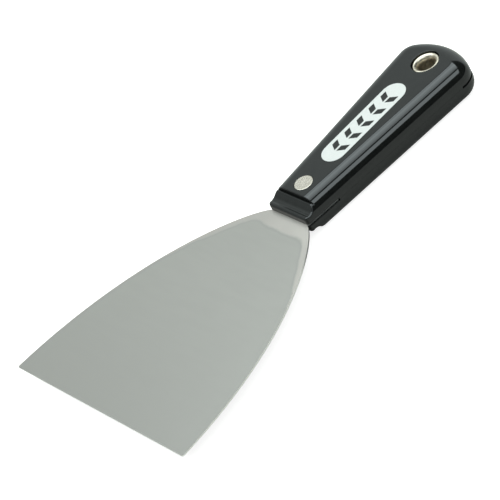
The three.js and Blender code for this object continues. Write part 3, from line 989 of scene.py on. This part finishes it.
# %% Washer
washer_outer = washer_high.y
washer_inner = 4.5 * MM
washer_top, washer_bottom = washer_high.z, washer_low.z
washer_profile = [
    (washer_inner, washer_top),
    (washer_outer, washer_top),
    *arc(washer_outer - 0.15 * MM, washer_bottom + 0.15 * MM, 0.15 * MM, 0, -math.pi / 2, 4),
    *arc(washer_inner + 0.1 * MM, washer_bottom + 0.1 * MM, 0.1 * MM, -math.pi / 2, -math.pi, 3),
]
washer = shade(turned("washer", washer_profile, EYELET_X, EYELET_NICKEL), 35, EYELET_NICKEL)

# %% [markdown]
# ## The printed badge, by Geometry Nodes
#
# A maker prints a badge in white ink on the front flat. A plain one stands there: a long rounded
# plate with a row of arrowheads left open, so that the black plastic shows through. The tree draws
# one arrowhead from two slanted bars, repeats it along a line, and fills the plate outline with the
# arrowheads as holes. Then it gives the film a thickness.

# %% The tree that prints the badge
def badge_tree():
    tree, given = geometry_tree("Printed badge", {
        "Length": "Float",
        "Height": "Float",
        "Count": "Int",
        "Pitch": "Float",
        "Bar width": "Float",
        "Bar height": "Float",
        "Slant": "Float",
        "Split": "Float",
        "Place": "Vector",
        "Film": "Float",
        "Material": "Material",
    })
    plate = node(tree, "GeometryNodeCurvePrimitiveQuadrilateral", {
        "Width": given["Length"], "Height": given["Height"]})
    radius = math_node(tree, "MULTIPLY", given["Height"], 0.499)
    corner = {"Curve": plate.outputs[0], "Radius": radius, "Count": 14}
    rounded = node(tree, "GeometryNodeFilletCurve", corner, mode="POLY").outputs[0]

    pair = node(tree, "GeometryNodeJoinGeometry")
    middle = math_node(tree, "ADD", math_node(tree, "MULTIPLY", given["Bar height"], 0.5), given["Split"])
    for sign in (1, -1):
        bar = node(tree, "GeometryNodeCurvePrimitiveQuadrilateral", {
            "Width": given["Bar width"], "Height": given["Bar height"],
            "Offset": math_node(tree, "MULTIPLY", given["Slant"], sign)}, mode="PARALLELOGRAM")
        offset = node(tree, "ShaderNodeCombineXYZ", {"Y": math_node(tree, "MULTIPLY", middle, sign)})
        moved = {"Geometry": bar.outputs[0], "Offset": offset.outputs[0]}
        tree.links.new(node(tree, "GeometryNodeSetPosition", moved).outputs[0], pair.inputs[0])

    start = math_node(tree, "MULTIPLY", math_node(tree, "SUBTRACT", given["Count"], 1), -0.5)
    first = node(tree, "ShaderNodeCombineXYZ", {"X": math_node(tree, "MULTIPLY", start, given["Pitch"])})
    step = node(tree, "ShaderNodeCombineXYZ", {"X": given["Pitch"]})
    line = {"Count": given["Count"], "Start Location": first.outputs[0], "Offset": step.outputs[0]}
    points = node(tree, "GeometryNodeMeshLine", line).outputs[0]
    row = node(tree, "GeometryNodeInstanceOnPoints", {"Points": points, "Instance": pair.outputs[0]})
    arrows = node(tree, "GeometryNodeRealizeInstances", {"Geometry": row.outputs[0]})

    outlines = node(tree, "GeometryNodeJoinGeometry")
    tree.links.new(rounded, outlines.inputs[0])
    tree.links.new(arrows.outputs[0], outlines.inputs[0])
    flat = node(tree, "GeometryNodeFillCurve", {"Curve": outlines.outputs[0]}, mode="TRIANGLES").outputs[0]
    placed = {"Geometry": flat, "Offset": given["Place"]}
    film = node(tree, "GeometryNodeSetPosition", placed).outputs[0]
    rise = node(tree, "ShaderNodeCombineXYZ", {"Z": given["Film"]}).outputs[0]
    lift = {"Mesh": film, "Offset": rise, "Offset Scale": 1.0, "Individual": False}
    upper = node(tree, "GeometryNodeExtrudeMesh", lift, mode="FACES").outputs["Mesh"]
    both = node(tree, "GeometryNodeJoinGeometry")
    tree.links.new(upper, both.inputs[0])
    tree.links.new(node(tree, "GeometryNodeFlipFaces", {"Mesh": film}).outputs[0], both.inputs[0])
    finish_tree(tree, both.outputs[0], given["Material"])
    return tree


# %% Print it on the front flat
badge_values = {
    "Length": 44 * MM,
    "Height": 10.8 * MM,
    "Count": 5,
    "Pitch": 6.9 * MM,
    "Bar width": 3.0 * MM,
    "Bar height": 3.3 * MM,
    "Slant": 1.9 * MM,
    "Split": 0.45 * MM,
    "Place": ((RIVET_X + EYELET_X) / 2 - 0.5 * MM, 0, FACE - 0.01 * MM),
    "Film": 0.035 * MM,
    "Material": INK,
}
badge_start = outline_curve("badge_start", [(0, 0), (MM, 0)])
badge = outward(run_tree(badge_start, badge_tree(), badge_values, "badge"))
badge.data.polygons.foreach_set("use_smooth", [False] * len(badge.data.polygons))

# %% [markdown]
# ## Tie the pieces to the frame
#
# Each piece says which body it rides on, which CAD node it stands for and which of the record's
# finishes it takes. The badge is a film of ink, so it stands for no CAD node.

# %% Ride and replace
TIES = [
    (ground_blade, "blade", "blade_steel"),
    (scale_front, "front_scale", "handle_plastic"),
    (scale_back, "back_scale", "handle_plastic"),
    (rivet_front, "rivet_post", "rivet_plate"),
    (rivet_back, "rivet_sleeve", "rivet_plate"),
    (eyelet, "hang_eyelet", "eyelet_plate"),
    (washer, "eyelet_washer", "eyelet_plate"),
]
for piece, cad_node, finish_slot in TIES:
    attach(piece, "root")
    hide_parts(cad_node)
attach(badge, "root")
print("pieces:", [piece.name for piece, *_ in TIES] + [badge.name])

# %% [markdown]
# ## Floor, camera and light
#
# The tool lies on a white table in a white studio. What makes glossy black plastic read as glossy is
# what it reflects. Four soft boxes of different strength lie side by side overhead. A fifth is a
# strip further to the front, past a narrow dark gap. The room is pale behind the tool, dark in front,
# and fades to the left. The rounded edge then shows two bright stripes with a dark line between.

# %% Floor
def plain_floor():
    material, tree, shader, place = finish("white_table", Roughness=0.9)
    specks = noise(tree, place, (1, 1, 1), 30, 2.0)
    tone = mix_color(tree, specks, (0.41, 0.395, 0.365, 1), (0.43, 0.415, 0.385, 1))
    tree.links.new(tone, shader.inputs["Base Color"])
    shader.inputs["Emission Color"].default_value = (1, 1, 1, 1)
    seen = node(tree, "ShaderNodeLightPath").outputs["Is Camera Ray"]
    tree.links.new(math_node(tree, "MULTIPLY", seen, 0.85), shader.inputs["Emission Strength"])
    reach = 1.6
    corners = [(-reach, -reach, 0), (reach, -reach, 0), (reach, reach, 0), (-reach, reach, 0)]
    floor = link_mesh("floor", corners, [(0, 1, 2, 3)])
    floor.data.materials.append(material)
    return floor


floor = plain_floor()
print("floor:", [round(side, 2) for side in floor.dimensions], "m")

# %% Camera
AZIMUTH, ELEVATION, ROLL = math.radians(-23.284), math.radians(37.586), math.radians(-30.306)
AIM = Vector((-0.01758, -0.00586, FACE))
DISTANCE = 1.1904

back = Vector((
    math.sin(AZIMUTH) * math.cos(ELEVATION),
    -math.cos(AZIMUTH) * math.cos(ELEVATION),
    math.sin(ELEVATION),
))
level_right = (-back).cross(Vector((0, 0, 1))).normalized()
level_up = level_right.cross(-back)
up = level_up * math.cos(ROLL) - level_right * math.sin(ROLL)
right = (-back).cross(up)
camera_data = bpy.data.cameras.new("camera")
camera_data.lens = 231.956
camera_data.sensor_width = 36
camera_data.clip_start = 0.05
camera = bpy.data.objects.new("camera", camera_data)
turn = Matrix((right, up, back)).transposed().to_4x4()
camera.matrix_world = Matrix.Translation(AIM + back * DISTANCE) @ turn
bpy.context.scene.collection.objects.link(camera)
bpy.context.scene.camera = camera
print("camera at", [round(c, 3) for c in camera.location])

# %% Soft boxes
LIGHT_HEIGHT = 2.6
BOX_LENGTH = 1.8 * LIGHT_HEIGHT


def soft_box(name, y_range, radiance, tint):
    """A level soft box; its range is the slope y/z to its edges as seen from the tool."""
    y0, y1 = y_range
    data = bpy.data.lights.new(name, "AREA")
    data.shape = "RECTANGLE"
    data.color = tint
    data.size = BOX_LENGTH
    data.size_y = (y1 - y0) * LIGHT_HEIGHT
    data.energy = radiance * math.pi * data.size * data.size_y
    light = bpy.data.objects.new(name, data)
    light.location = (0, (y0 + y1) / 2 * LIGHT_HEIGHT, FACE + LIGHT_HEIGHT)
    light.visible_camera = False
    bpy.context.scene.collection.objects.link(light)


COOL = (0.87, 0.98, 1.0)
soft_box("back_panel", (0.49, 0.96), 3.1, COOL)
soft_box("bright_panel", (0.22, 0.49), 4.3, COOL)
soft_box("middle_panel", (-0.05, 0.22), 3.5, COOL)
soft_box("fading_panel", (-0.27, -0.05), 2.35, COOL)
soft_box("front_strip", (-1.18, -0.47), 3.35, COOL)


# %% Room
def room():
    """A world that is white to the camera, and to reflections pale behind the tool and dark in front."""
    world = bpy.data.worlds.new("room")
    world.use_nodes = True
    tree = world.node_tree
    tree.nodes.clear()
    way = node(tree, "ShaderNodeTexCoord").outputs["Generated"]
    parts = node(tree, "ShaderNodeSeparateXYZ", {0: way})
    height = math_node(tree, "MAXIMUM", parts.outputs["Z"], 0.001)
    slope = math_node(tree, "DIVIDE", parts.outputs["Y"], height)
    side = math_node(tree, "DIVIDE", parts.outputs["X"], height)
    left = math_node(tree, "MAXIMUM", math_node(tree, "SUBTRACT", 0.25, side), 0.0)
    shifted = math_node(tree, "MULTIPLY_ADD", left, 0.5, slope)
    pale = ramp(tree, side, -1.2, 0.1, 0.5, 0.82)
    level = ramp(tree, shifted, 1.02, 1.12, 0.04, pale)
    seen = node(tree, "ShaderNodeLightPath").outputs["Is Camera Ray"]
    strength = node(tree, "ShaderNodeMix", {"Factor": seen, 2: level, 3: 1.0})
    tint = mix_color(tree, seen, (0.91, 1, 0.985, 1), (1, 1, 1, 1))
    background = node(tree, "ShaderNodeBackground", {"Color": tint, "Strength": strength.outputs[0]})
    node(tree, "ShaderNodeOutputWorld", {"Surface": background.outputs[0]})
    bpy.context.scene.world = world


room()
bpy.context.scene.view_settings.view_transform = "Standard"
bpy.context.scene.view_settings.look = "None"
